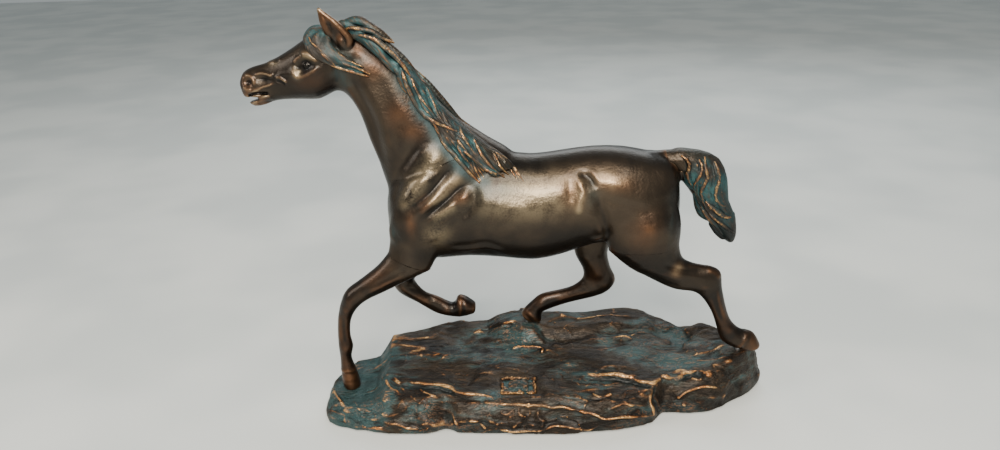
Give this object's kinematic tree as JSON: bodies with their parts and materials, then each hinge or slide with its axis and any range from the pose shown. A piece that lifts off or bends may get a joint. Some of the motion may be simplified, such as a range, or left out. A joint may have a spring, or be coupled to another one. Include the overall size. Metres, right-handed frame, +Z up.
{
  "type": "horse statuette",
  "caption": "Cast statuette of a trotting horse with blown-back mane and tail, bolted by its hooves to a rough rock slab base that rests flat.",
  "frame": {"origin": "centre of the flat underside that the statue rests on", "axes": "+Z up; the horse faces -X, so +X runs from its head to its tail; -Y is the display side, the horse's left"},
  "size_m": [0.3455, 0.1186, 0.276],
  "materials": {
    "horse_bronze": "dark brown patinated cast bronze, waxed to a satin gloss, rubbed to copper and pale gold on the high spots",
    "hair_patina": "cast bronze with blue-green verdigris in the grooves and gold-rubbed ridges",
    "rock_bronze": "rough cast bronze, umber patina with blue-green verdigris and copper-gold edges",
    "dowel": "plain drawn rod",
    "fastener": "zinc plated",
    "plate": "plain hardboard",
    "felt": "dense dark green felt"
  },
  "bodies": {
    "root": {"torso": "horse_bronze", "neck": "horse_bronze", "head": "horse_bronze", "mane": "hair_patina", "forelock": "hair_patina", "tail": "hair_patina", "left_foreleg": "horse_bronze", "right_foreleg": "horse_bronze", "left_hindleg": "horse_bronze", "right_hindleg": "horse_bronze", "neck_dowels": "dowel", "head_dowel": "dowel", "leg_dowels": "dowel", "tail_dowel": "dowel", "mane_pins": "dowel", "rock_base": "rock_bronze", "plaque": "rock_bronze", "mounting_studs": "fastener", "stud_washers": "fastener", "stud_nuts": "fastener", "base_plate": "plate", "plate_screws": "fastener", "felt_pad": "felt"}
  },
  "joints": []
}
